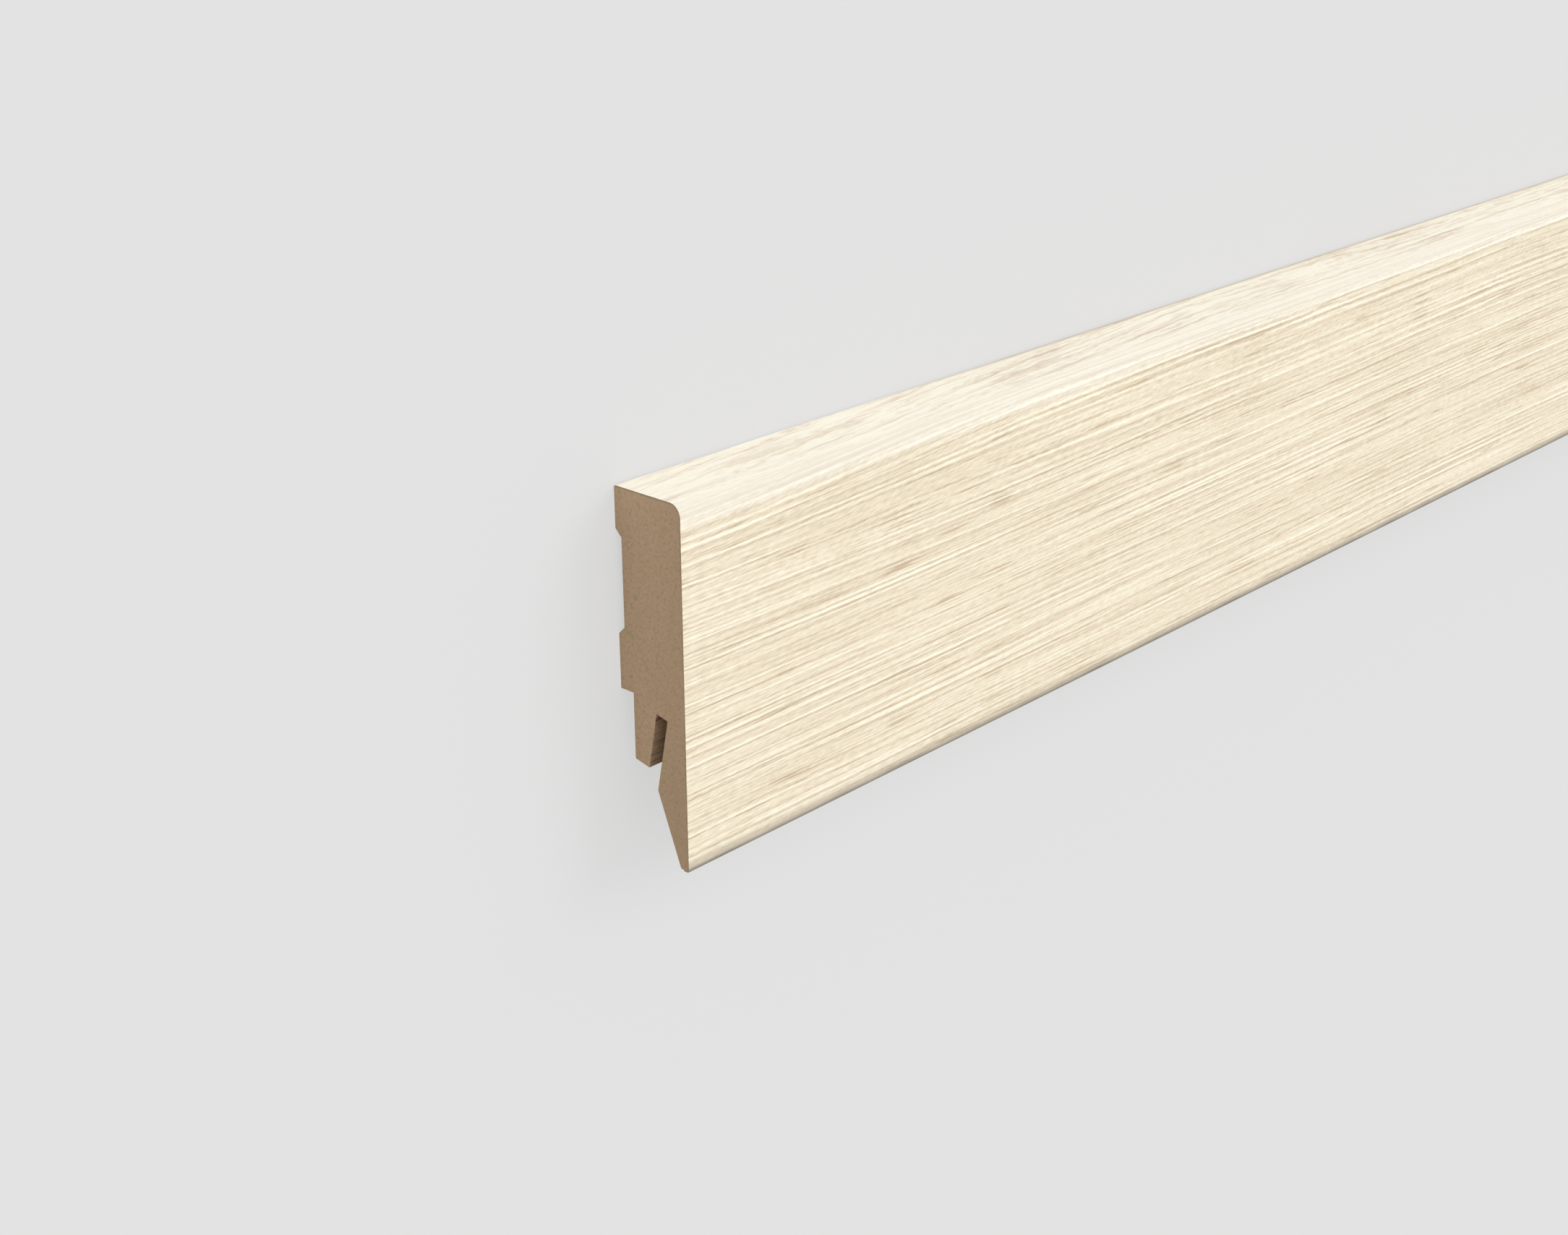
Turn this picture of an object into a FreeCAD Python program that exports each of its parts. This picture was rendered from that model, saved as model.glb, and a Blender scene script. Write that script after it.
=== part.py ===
import FreeCAD, Part
import math
import os

import Sketcher

# Skirting board length: a machined MDF moulding with a thin wood-decor foil wrapped over its front.
# It lies on its back. X runs along the board, +Y points from its foot edge to its head edge, and
# +Z points out of the face. The origin is the middle of its back, in the plane of its two lands.

# Sizes in millimetres, and the lean in degrees. Heights are measured up the board from its foot
# edge. Depths are measured from the wall plane, which is the plane of the back lands, to the face.
SIZES = (
    ("board_length", 2400.0, "length the board is sold in"),
    ("board_height", 60.0, "foot edge to head edge, over the foil"),
    ("board_thickness", 14.0, "wall plane to face, over the foil"),
    ("head_radius", 2.1, "rounding of the head's front edge, over the foil"),
    ("foot_radius", 0.5, "rounding of the foot's front edge, over the foil"),
    ("foil_thickness", 0.2, "thickness of the decor foil"),
    ("foil_foot_return", 1.1, "how far the foil turns under the foot, from the face"),
    ("foil_wall_margin", 0.3, "foil's end on the head edge, above the wall plane"),
    ("top_land_width", 6.8, "back land next to the head edge"),
    ("recess_depth", 1.23, "depth of the relief between the lands"),
    ("recess_wall_angle", 45.0, "slope of the relief's two sides"),
    ("middle_land_head", 36.2, "height of the middle land's upper edge"),
    ("middle_land_foot", 27.1, "height of the middle land's lower edge, where the step starts"),
    ("step_depth", 2.77, "leg's back face, behind the wall plane"),
    ("lip_foot_width", 1.64, "thickness of the front lip at its foot"),
    ("lip_arris_radius", 0.3, "rounding of the lip's back foot edge"),
    ("knee_height", 12.1, "height of the knee, where the lip is thickest"),
    ("knee_depth", 7.6, "knee's distance from the wall plane"),
    ("groove_lean", 11.4, "lean of the clip groove's walls from the face"),
    ("groove_width", 2.37, "width of the clip groove"),
    ("groove_length", 12.7, "knee to the clip groove's floor, along its front wall"),
    ("leg_foot_height", 15.4, "height of the leg's lower corner, at the clip groove"),
)

# The sketcher's numbers for an edge's points, and for the sketch's two axes.
START, END, CENTRE = range(1, 4)
SKETCH_U_AXIS, SKETCH_V_AXIS = range(-1, -3, -1)


def fill_sheet(doc):
    """Write the driving dimensions into a spreadsheet and return their values by name."""
    sheet = doc.addObject("Spreadsheet::Sheet", "Sizes")
    for row, (name, value, meaning) in enumerate(SIZES, start=1):
        sheet.set(f"A{row}", name)
        sheet.set(f"B{row}", str(value))
        sheet.set(f"C{row}", meaning)
        sheet.setAlias(f"B{row}", name)
    doc.recompute()
    return {name: float(sheet.get(name)) for name, _, _ in SIZES}


def new_body(doc, name):
    """Start a sub-part, moved so that its outline's heights are centred on the board's middle."""
    body = doc.addObject("PartDesign::Body", name)
    body.Label = name
    body.setExpression("Placement.Base.y", "-Sizes.board_height / 2")
    return body


def section_sketch(body, name):
    """Make a sketch on the body's cross-section plane: u is the height, v the depth."""
    plane = next(feature for feature in body.Origin.OriginFeatures if feature.Role == "YZ_Plane")
    sketch = body.newObject("Sketcher::SketchObject", name)
    sketch.AttachmentSupport = [(plane, "")]
    sketch.MapMode = "FlatFace"
    return sketch


def line(sketch, start, end):
    """Draw a straight edge and return its number."""
    return sketch.addGeometry(Part.LineSegment(FreeCAD.Vector(*start), FreeCAD.Vector(*end)), False)


def quarter_arc(sketch, centre, radius, quarter):
    """Draw a quarter circle that starts the given number of quarter turns from the u axis."""
    circle = Part.Circle(FreeCAD.Vector(*centre), FreeCAD.Vector(0, 0, 1), radius)
    first = quarter * math.pi / 2
    return sketch.addGeometry(Part.ArcOfCircle(circle, first, first + math.pi / 2), False)


def tie(sketch, kind, *elements):
    """Add a constraint that has no dimension."""
    sketch.addConstraint(Sketcher.Constraint(kind, *elements))


def dimension(sketch, name, kind, elements, value, expression):
    """Add a named dimension that follows an expression of the sheet's values."""
    index = sketch.addConstraint(Sketcher.Constraint(kind, *elements, value))
    sketch.renameConstraint(index, name)
    sketch.setExpression("Constraints." + name, expression)


def polygon(sketch, corners):
    """Draw a closed outline of straight edges; edge n starts at corner n."""
    edges = [line(sketch, a, b) for a, b in zip(corners, corners[1:] + corners[:1])]
    for edge, following in zip(edges, edges[1:] + edges[:1]):
        tie(sketch, "Coincident", edge, END, following, START)
    return edges


def front_outline(sketch, head, foot, face, head_radius, foot_radius):
    """Draw the head line, head arc, face line, foot arc and foot line, each tangent to the next.

    head and foot are the (height, depth) of the outline's two ends, and face is the face's depth.
    """
    head_line = line(sketch, head, (head[0], face - head_radius))
    head_arc = quarter_arc(sketch, (head[0] - head_radius, face - head_radius), head_radius, 0)
    face_line = line(sketch, (head[0] - head_radius, face), (foot[0] + foot_radius, face))
    foot_arc = quarter_arc(sketch, (foot[0] + foot_radius, face - foot_radius), foot_radius, 1)
    foot_line = line(sketch, (foot[0], face - foot_radius), foot)
    chain = (head_line, head_arc, face_line, foot_arc, foot_line)
    for edge, following in zip(chain, chain[1:]):
        tie(sketch, "Tangent", edge, END, following, START)
    tie(sketch, "Vertical", head_line)
    tie(sketch, "Horizontal", face_line)
    tie(sketch, "Vertical", foot_line)
    return chain


def pad_along_board(body, sketch, name):
    """Pad a section to the board's length, half to each side of the origin."""
    pad = body.newObject("PartDesign::Pad", name)
    pad.Profile = sketch
    pad.SideType = "Symmetric"
    pad.setExpression("Length", "Sizes.board_length")


def run_cutter(body, sketch, name):
    """Cut a section right through the board along its length, and check that it removes material."""
    body.Document.recompute()
    before = body.Shape.Volume
    pocket = body.newObject("PartDesign::Pocket", name)
    pocket.Profile = sketch
    pocket.Type = "ThroughAll"
    pocket.SideType = "Symmetric"
    body.Document.recompute()
    if body.Shape.Volume >= before:
        raise RuntimeError(f"{name} removed nothing from {body.Label}")


def core_blank(body, size):
    """Draw the moulding's blank: the board's outline less the foil, with both front edges round."""
    sketch = section_sketch(body, "blank_section")
    foil = size["foil_thickness"]
    head = (size["board_height"] - foil, 0.0)
    foot = (foil, 0.0)
    face = size["board_thickness"] - foil
    head_radius = size["head_radius"] - foil
    foot_radius = size["foot_radius"] - foil
    head_line, head_arc, face_line, foot_arc, foot_line = front_outline(
        sketch, head, foot, face, head_radius, foot_radius
    )
    back_line = line(sketch, foot, head)
    tie(sketch, "Coincident", foot_line, END, back_line, START)
    tie(sketch, "Coincident", back_line, END, head_line, START)
    tie(sketch, "Horizontal", back_line)
    tie(sketch, "PointOnObject", back_line, START, SKETCH_U_AXIS)
    dimension(
        sketch, "foot_level", "DistanceX", (back_line, START), foot[0], "Sizes.foil_thickness"
    )
    dimension(
        sketch, "head_level", "DistanceX", (back_line, END), head[0],
        "Sizes.board_height - Sizes.foil_thickness",
    )
    dimension(
        sketch, "face_level", "DistanceY", (face_line, START), face,
        "Sizes.board_thickness - Sizes.foil_thickness",
    )
    dimension(
        sketch, "head_radius", "Radius", (head_arc,), head_radius,
        "Sizes.head_radius - Sizes.foil_thickness",
    )
    dimension(
        sketch, "foot_radius", "Radius", (foot_arc,), foot_radius,
        "Sizes.foot_radius - Sizes.foil_thickness",
    )
    pad_along_board(body, sketch, "blank")


def back_recess(body, size):
    """Cut the shallow relief between the two lands, with sloping sides."""
    sketch = section_sketch(body, "recess_section")
    low = size["middle_land_head"]
    high = size["board_height"] - size["top_land_width"]
    depth = size["recess_depth"]
    run = depth / math.tan(math.radians(size["recess_wall_angle"]))
    corners = [(low, 0.0), (high, 0.0), (high - run, depth), (low + run, depth)]
    mouth, head_side, floor, foot_side = polygon(sketch, corners)
    tie(sketch, "PointOnObject", mouth, START, SKETCH_U_AXIS)
    tie(sketch, "Horizontal", mouth)
    tie(sketch, "Horizontal", floor)
    dimension(sketch, "foot_edge", "DistanceX", (mouth, START), low, "Sizes.middle_land_head")
    dimension(
        sketch, "head_edge", "DistanceX", (mouth, END), high,
        "Sizes.board_height - Sizes.top_land_width",
    )
    dimension(sketch, "depth", "DistanceY", (floor, START), depth, "Sizes.recess_depth")
    slope_run = "Sizes.recess_depth / tan(Sizes.recess_wall_angle)"
    dimension(
        sketch, "head_slope", "DistanceX", (head_side, END, head_side, START), run, slope_run
    )
    dimension(
        sketch, "foot_slope", "DistanceX", (foot_side, END, foot_side, START), run, slope_run
    )
    run_cutter(body, sketch, "back_recess")


def back_step(body, size):
    """Cut the step that sets the leg back from the wall, up to the middle land."""
    sketch = section_sketch(body, "step_section")
    head = size["middle_land_foot"]
    depth = size["step_depth"]
    corners = [(0.0, 0.0), (head, 0.0), (head, depth), (0.0, depth)]
    mouth, shoulder, leg_back, foot_side = polygon(sketch, corners)
    tie(sketch, "Coincident", mouth, START, SKETCH_U_AXIS, START)
    tie(sketch, "Horizontal", mouth)
    tie(sketch, "Vertical", shoulder)
    tie(sketch, "Horizontal", leg_back)
    tie(sketch, "Vertical", foot_side)
    dimension(sketch, "head", "DistanceX", (mouth, END), head, "Sizes.middle_land_foot")
    dimension(sketch, "depth", "DistanceY", (shoulder, END), depth, "Sizes.step_depth")
    run_cutter(body, sketch, "back_step")


def knee_point(size):
    """Return the knee's (height, depth)."""
    return size["knee_height"], size["knee_depth"]


def leg_foot_on_front_wall(size):
    """Return where the leg's foot plane, drawn on across the groove, meets the front wall."""
    lean = math.radians(size["groove_lean"])
    height = size["leg_foot_height"] - size["groove_width"] * math.sin(lean)
    knee_height, knee_depth = knee_point(size)
    return height, knee_depth + (height - knee_height) * math.tan(lean)


def lip_undercut(body, size):
    """Cut the space behind the lip: the lip slopes back to the knee, and the leg ends square."""
    sketch = section_sketch(body, "undercut_section")
    lean = math.radians(size["groove_lean"])
    lip_depth = size["board_thickness"] - size["lip_foot_width"]
    knee = knee_point(size)
    front_wall = leg_foot_on_front_wall(size)
    wall_plane = (front_wall[0] + front_wall[1] * math.tan(lean), 0.0)
    corners = [(0.0, 0.0), (0.0, lip_depth), knee, front_wall, wall_plane]
    foot_side, lip_back, groove_wall, leg_foot, mouth = polygon(sketch, corners)
    tie(sketch, "Coincident", foot_side, START, SKETCH_U_AXIS, START)
    tie(sketch, "Vertical", foot_side)
    tie(sketch, "Horizontal", mouth)
    tie(sketch, "Perpendicular", groove_wall, leg_foot)
    dimension(
        sketch, "lip_depth", "DistanceY", (lip_back, START), lip_depth,
        "Sizes.board_thickness - Sizes.lip_foot_width",
    )
    dimension(sketch, "knee_height", "DistanceX", (lip_back, END), knee[0], "Sizes.knee_height")
    dimension(sketch, "knee_depth", "DistanceY", (lip_back, END), knee[1], "Sizes.knee_depth")
    dimension(
        sketch, "leg_foot", "DistanceX", (groove_wall, END), front_wall[0],
        "Sizes.leg_foot_height - Sizes.groove_width * sin(Sizes.groove_lean)",
    )
    dimension(sketch, "lean", "Angle", (groove_wall,), lean, "Sizes.groove_lean")
    run_cutter(body, sketch, "lip_undercut")


def clip_groove(body, size):
    """Cut the leaning groove that takes the wall clip, from the knee to the groove's floor."""
    sketch = section_sketch(body, "groove_section")
    lean = math.radians(size["groove_lean"])
    length = size["groove_length"]
    width = size["groove_width"]
    along = (length * math.cos(lean), length * math.sin(lean))
    across = (width * math.sin(lean), -width * math.cos(lean))
    knee = knee_point(size)
    floor_front = (knee[0] + along[0], knee[1] + along[1])
    floor_back = (floor_front[0] + across[0], floor_front[1] + across[1])
    mouth_back = (knee[0] + across[0], knee[1] + across[1])
    front_wall, floor, back_wall, mouth = polygon(sketch, [knee, floor_front, floor_back, mouth_back])
    tie(sketch, "Perpendicular", front_wall, floor)
    tie(sketch, "Parallel", front_wall, back_wall)
    tie(sketch, "Perpendicular", front_wall, mouth)
    dimension(sketch, "knee_height", "DistanceX", (front_wall, START), knee[0], "Sizes.knee_height")
    dimension(sketch, "knee_depth", "DistanceY", (front_wall, START), knee[1], "Sizes.knee_depth")
    dimension(sketch, "lean", "Angle", (front_wall,), lean, "Sizes.groove_lean")
    dimension(sketch, "length", "Distance", (front_wall,), length, "Sizes.groove_length")
    dimension(sketch, "width", "Distance", (floor,), width, "Sizes.groove_width")
    run_cutter(body, sketch, "clip_groove")


def lip_arris(body, size):
    """Round the lip's back foot edge, which runs the board's length."""
    body.Document.recompute()
    height = size["foil_thickness"]
    lip_depth = size["board_thickness"] - size["lip_foot_width"]
    slope = (lip_depth - size["knee_depth"]) / size["knee_height"]
    corner = FreeCAD.Vector(0, height - size["board_height"] / 2, lip_depth - slope * height)
    tip = body.Tip
    edges = body.Shape.Edges
    gaps = [edge.distToShape(Part.Vertex(corner))[0] for edge in edges]
    edge_name = f"Edge{gaps.index(min(gaps)) + 1}"
    fillet = body.newObject("PartDesign::Fillet", "lip_arris")
    fillet.Base = (tip, [edge_name])
    fillet.setExpression("Radius", "Sizes.lip_arris_radius")


def mdf_core(doc, size):
    """Machine the moulding from its blank."""
    body = new_body(doc, "mdf_core")
    core_blank(body, size)
    back_recess(body, size)
    back_step(body, size)
    lip_undercut(body, size)
    clip_groove(body, size)
    lip_arris(body, size)
    return body


def decor_foil(doc, size):
    """Wrap the foil over the head, down the face and round under the foot."""
    body = new_body(doc, "decor_foil")
    sketch = section_sketch(body, "wrap_section")
    foil = size["foil_thickness"]
    height, face = size["board_height"], size["board_thickness"]
    head_radius, foot_radius = size["head_radius"], size["foot_radius"]
    head_end = size["foil_wall_margin"]
    foot_end = face - size["foil_foot_return"]
    outer = front_outline(
        sketch, (height, head_end), (0.0, foot_end), face, head_radius, foot_radius
    )
    inner = front_outline(
        sketch, (height - foil, head_end), (foil, foot_end), face - foil,
        head_radius - foil, foot_radius - foil,
    )
    outer_head, outer_head_arc, outer_face, outer_foot_arc, outer_foot = outer
    inner_head, inner_head_arc, _, inner_foot_arc, inner_foot = inner
    head_cut = line(sketch, (height - foil, head_end), (height, head_end))
    foot_cut = line(sketch, (0.0, foot_end), (foil, foot_end))
    tie(sketch, "Coincident", head_cut, START, inner_head, START)
    tie(sketch, "Coincident", head_cut, END, outer_head, START)
    tie(sketch, "Coincident", foot_cut, START, outer_foot, END)
    tie(sketch, "Coincident", foot_cut, END, inner_foot, END)
    tie(sketch, "Horizontal", head_cut)
    tie(sketch, "Horizontal", foot_cut)
    tie(sketch, "Coincident", outer_head_arc, CENTRE, inner_head_arc, CENTRE)
    tie(sketch, "Coincident", outer_foot_arc, CENTRE, inner_foot_arc, CENTRE)
    tie(sketch, "PointOnObject", outer_foot, END, SKETCH_V_AXIS)
    dimension(sketch, "height", "DistanceX", (outer_head, START), height, "Sizes.board_height")
    dimension(sketch, "face", "DistanceY", (outer_face, START), face, "Sizes.board_thickness")
    dimension(
        sketch, "head_end", "DistanceY", (outer_head, START), head_end, "Sizes.foil_wall_margin"
    )
    dimension(
        sketch, "foot_end", "DistanceY", (outer_foot, END), foot_end,
        "Sizes.board_thickness - Sizes.foil_foot_return",
    )
    dimension(
        sketch, "head_radius", "Radius", (outer_head_arc,), head_radius, "Sizes.head_radius"
    )
    dimension(
        sketch, "foot_radius", "Radius", (outer_foot_arc,), foot_radius, "Sizes.foot_radius"
    )
    dimension(sketch, "foil", "Distance", (head_cut,), foil, "Sizes.foil_thickness")
    pad_along_board(body, sketch, "wrap")
    return body


def check(doc, bodies):
    """Stop if any feature failed, or if a sub-part isn't one valid solid."""
    for item in doc.Objects:
        if "Invalid" in item.State or "Error" in item.State:
            raise RuntimeError(f"{item.Name} failed: {item.State}")
    for body in bodies:
        shape = body.Shape
        if shape.isNull() or not shape.isValid() or len(shape.Solids) != 1:
            raise RuntimeError(f"{body.Label} isn't one valid solid")


def main():
    """Build the board's two pieces and write one STEP file for each."""
    doc = FreeCAD.newDocument("skirting_board")
    size = fill_sheet(doc)
    bodies = [mdf_core(doc, size), decor_foil(doc, size)]
    doc.recompute()
    check(doc, bodies)
    os.makedirs("parts", exist_ok=True)
    for body in bodies:
        body.Shape.exportStep(f"parts/{body.Label}.step")
        box = body.Shape.BoundBox
        print(
            f"{body.Label}: {body.Shape.Volume:.1f} mm3, "
            f"x {box.XMin:.2f} to {box.XMax:.2f}, "
            f"y {box.YMin:.2f} to {box.YMax:.2f}, z {box.ZMin:.2f} to {box.ZMax:.2f}"
        )


main()
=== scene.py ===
"""The looks of a skirting board length: a foil-wrapped MDF moulding, lying on its back."""

import logging
import math
from dataclasses import dataclass, field
from enum import Enum
from typing import Any, Callable, NamedTuple, Union

import bpy
from mathutils import Matrix, Vector, noise


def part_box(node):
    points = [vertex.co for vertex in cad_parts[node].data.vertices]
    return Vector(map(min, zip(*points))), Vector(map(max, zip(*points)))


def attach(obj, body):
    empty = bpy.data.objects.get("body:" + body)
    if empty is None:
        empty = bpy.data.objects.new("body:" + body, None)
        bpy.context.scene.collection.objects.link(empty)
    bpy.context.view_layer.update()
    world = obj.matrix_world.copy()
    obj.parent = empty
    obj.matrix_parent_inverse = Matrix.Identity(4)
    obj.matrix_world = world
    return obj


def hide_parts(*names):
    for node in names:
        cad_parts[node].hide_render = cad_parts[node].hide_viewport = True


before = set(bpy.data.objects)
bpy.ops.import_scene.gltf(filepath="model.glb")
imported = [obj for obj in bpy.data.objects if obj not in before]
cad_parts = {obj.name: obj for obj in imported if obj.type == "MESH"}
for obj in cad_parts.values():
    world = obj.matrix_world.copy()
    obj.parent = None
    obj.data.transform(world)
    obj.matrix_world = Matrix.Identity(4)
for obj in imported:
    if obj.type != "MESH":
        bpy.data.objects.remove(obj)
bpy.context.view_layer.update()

MM = 0.001
BODY = "root"

Colour = tuple[float, float, float, float]
Span = tuple[float, float]
Number = Union[float, "Signal"]

log = logging.getLogger("skirting_board")


def paint(red: float, green: float, blue: float) -> Colour:
    """Turn a colour as seen on a screen, 0 to 255 a channel, into Blender's linear values.

    Args:
        red: The red channel.
        green: The green channel.
        blue: The blue channel.

    Returns:
        The linear colour with full opacity.
    """

    def linear(channel: float) -> float:
        """Return one channel as linear light, by the usual curve of screens."""
        share = channel / 255
        return share / 12.92 if share <= 0.04045 else ((share + 0.055) / 1.055) ** 2.4

    return linear(red), linear(green), linear(blue), 1.0


class Signal:
    """A node's output that Python's arithmetic extends with Math nodes."""

    def __init__(self, graph: "NodeGraph", socket: bpy.types.NodeSocket) -> None:
        """Wrap one output socket of a graph."""
        self.graph = graph
        self.socket = socket

    def __add__(self, other: Number) -> "Signal":
        """Add a value."""
        return self.graph.maths("ADD", self, other)

    def __radd__(self, other: float) -> "Signal":
        """Add to a value."""
        return self.graph.maths("ADD", other, self)

    def __sub__(self, other: Number) -> "Signal":
        """Take a value away."""
        return self.graph.maths("SUBTRACT", self, other)

    def __rsub__(self, other: float) -> "Signal":
        """Take this from a value."""
        return self.graph.maths("SUBTRACT", other, self)

    def __mul__(self, other: Number) -> "Signal":
        """Multiply by a value."""
        return self.graph.maths("MULTIPLY", self, other)

    def __rmul__(self, other: float) -> "Signal":
        """Multiply a value by this."""
        return self.graph.maths("MULTIPLY", other, self)

    def __truediv__(self, other: Number) -> "Signal":
        """Divide by a value."""
        return self.graph.maths("DIVIDE", self, other)

    def __abs__(self) -> "Signal":
        """Return the size without the sign."""
        return self.graph.maths("ABSOLUTE", self)


class Spot(NamedTuple):
    """A surface point on the board, in millimetres: along it, up it and out of its back."""

    x: Signal
    y: Signal
    z: Signal


class NodeGraph:
    """A material's node tree, filled from one method."""

    def __init__(self, tree: bpy.types.NodeTree) -> None:
        """Start with an empty tree."""
        self.tree = tree
        tree.nodes.clear()

    @staticmethod
    def _socket(sockets: "bpy.types.bpy_prop_collection", key: Union[int, str]) -> Any:
        """Find a socket.

        Args:
            sockets: A node's inputs or outputs.
            key: The socket's place, its identifier or its name.

        Returns:
            The socket.
        """
        if isinstance(key, int):
            return sockets[key]
        by_identifier = [item for item in sockets if item.identifier == key]
        return by_identifier[0] if by_identifier else sockets[key]

    def node(
        self,
        kind: str,
        settings: dict[str, Any] | None = None,
        inputs: dict[Union[int, str], Any] | None = None,
        output: Union[int, str] = 0,
    ) -> Signal:
        """Add a node, set it up, fill its sockets and return one of its outputs.

        Args:
            kind: The node's type.
            settings: The node's own properties, set first. "stops" fills a colour ramp.
            inputs: A value or a signal for each socket, by place, identifier or name.
            output: The output wanted, by place, identifier or name.

        Returns:
            The chosen output, or the first input of a node that ends the graph.
        """
        made = self.tree.nodes.new(kind)
        for name, value in (settings or {}).items():
            if name == "stops":
                self._fill_ramp(made.color_ramp, value)
            else:
                setattr(made, name, value)
        for key, value in (inputs or {}).items():
            target = self._socket(made.inputs, key)
            if isinstance(value, Signal):
                self.tree.links.new(value.socket, target)
            else:
                target.default_value = value
        return Signal(self, self._socket(made.outputs or made.inputs, output))

    @staticmethod
    def _fill_ramp(ramp: bpy.types.ColorRamp, stops: list[tuple[float, Colour]]) -> None:
        """Set a colour ramp's stops.

        Args:
            ramp: The ramp of a new node.
            stops: Each stop's place, from 0 to 1, and its colour.
        """
        while len(ramp.elements) > len(stops):
            ramp.elements.remove(ramp.elements[-1])
        while len(ramp.elements) < len(stops):
            ramp.elements.new(1.0)
        for element, (place, colour) in zip(ramp.elements, stops):
            element.position = place
            element.color = colour

    def maths(self, operation: str, *values: Number) -> Signal:
        """Add a Math node on one to three values."""
        inputs = dict(enumerate(values))
        return self.node("ShaderNodeMath", {"operation": operation}, inputs)

    def clamped(self, value: Signal) -> Signal:
        """Keep a value between 0 and 1."""
        return self.node("ShaderNodeClamp", None, {"Value": value})

    def step(self, value: Signal, low: float, high: float) -> Signal:
        """Rise smoothly from 0 at low to 1 at high."""
        inputs = {"Value": value, "From Min": low, "From Max": high, "To Min": 0.0, "To Max": 1.0}
        return self.node("ShaderNodeMapRange", {"interpolation_type": "SMOOTHSTEP"}, inputs)

    def blend(self, share: Number, first: Any, second: Any) -> Signal:
        """Mix two colours.

        Args:
            share: How much of the second colour.
            first: A colour or a signal.
            second: A colour or a signal.

        Returns:
            The mixed colour.
        """
        inputs = {"Factor_Float": share, "A_Color": first, "B_Color": second}
        return self.node("ShaderNodeMix", {"data_type": "RGBA"}, inputs, "Result_Color")

    def ramp(self, value: Signal, stops: list[tuple[float, Colour]]) -> Signal:
        """Turn a value into a colour by a ramp's stops."""
        return self.node("ShaderNodeValToRGB", {"stops": stops}, {"Fac": value}, "Color")

    def place_mm(self) -> Spot:
        """Find where the surface point is.

        Returns:
            Its place on the board, in millimetres.
        """
        metres = self.node("ShaderNodeTexCoord", output="Object")
        settings = {"operation": "SCALE"}
        scaled = self.node("ShaderNodeVectorMath", settings, {"Vector": metres, "Scale": 1 / MM})
        x = self.node("ShaderNodeSeparateXYZ", None, {"Vector": scaled}, "X")
        outputs = x.socket.node.outputs
        return Spot(x, Signal(self, outputs["Y"]), Signal(self, outputs["Z"]))

    def cells(
        self, x: Number, y: Number, z: Number, detail: float = 0.0, roughness: float = 0.5
    ) -> Signal:
        """Return noise whose cells are one unit of each coordinate across.

        Args:
            x: First coordinate, in cells.
            y: Second coordinate, in cells.
            z: Third coordinate, in cells, or a number that picks another pattern.
            detail: Number of finer layers added.
            roughness: Strength of each finer layer against the one before.

        Returns:
            The noise, from 0 to 1, about 0.5.
        """
        spot = self.node("ShaderNodeCombineXYZ", None, {"X": x, "Y": y, "Z": z})
        inputs = {"Vector": spot, "Scale": 1.0, "Detail": detail, "Roughness": roughness}
        return self.node("ShaderNodeTexNoise", {"noise_dimensions": "3D"}, inputs, "Fac")

    def relief(self, height: Signal, depth_mm: float) -> Signal:
        """Raise the surface by a height signal whose unit is depth_mm."""
        inputs = {"Height": height, "Distance": depth_mm * MM, "Strength": 1.0}
        return self.node("ShaderNodeBump", None, inputs, "Normal")

    def coat(self, colour: Signal, roughness: Number, normal: Signal, gloss: float) -> None:
        """Finish the material with one opaque coat.

        Args:
            colour: The base colour.
            roughness: The roughness.
            normal: The relief.
            gloss: The specular level.
        """
        inputs = {
            "Base Color": colour,
            "Roughness": roughness,
            "Normal": normal,
            "Specular IOR Level": gloss,
        }
        self.surface(self.node("ShaderNodeBsdfPrincipled", None, inputs, "BSDF"))

    def surface(self, shader: Signal) -> None:
        """Send a shader to the material's surface."""
        self.node("ShaderNodeOutputMaterial", None, {"Surface": shader})


def new_material(name: str) -> tuple[bpy.types.Material, NodeGraph]:
    """Make an empty material.

    Args:
        name: The material's name.

    Returns:
        The material and its graph.
    """
    material = bpy.data.materials.new(name)
    material.use_nodes = True
    return material, NodeGraph(material.node_tree)


@dataclass(frozen=True)
class Streaks:
    """A noise pattern stretched along the board.

    Its cells' run and width are in millimetres. The pick chooses one pattern out of many, detail
    and roughness add finer layers, and strength is what a full swing or a full mark is worth. A
    mark rises from nothing to full between the two values of the crest.
    """

    run: float
    width: float
    pick: float
    detail: float = 0.0
    roughness: float = 0.5
    strength: float = 1.0
    crest: Span = (0.0, 1.0)

    def drawn(self, g: NodeGraph, x: Signal, line: Number) -> Signal:
        """Return the pattern itself, from 0 to 1."""
        return g.cells(x / self.run, line / self.width, self.pick, self.detail, self.roughness)

    def swing(self, g: NodeGraph, x: Signal, line: Number) -> Signal:
        """Return the pattern about zero, times its strength."""
        return (self.drawn(g, x, line) - 0.5) * self.strength

    def marks(self, g: NodeGraph, x: Signal, line: Number) -> Signal:
        """Return the marks on the pattern's crests, times its strength."""
        return g.step(self.drawn(g, x, line), *self.crest) * self.strength


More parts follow.
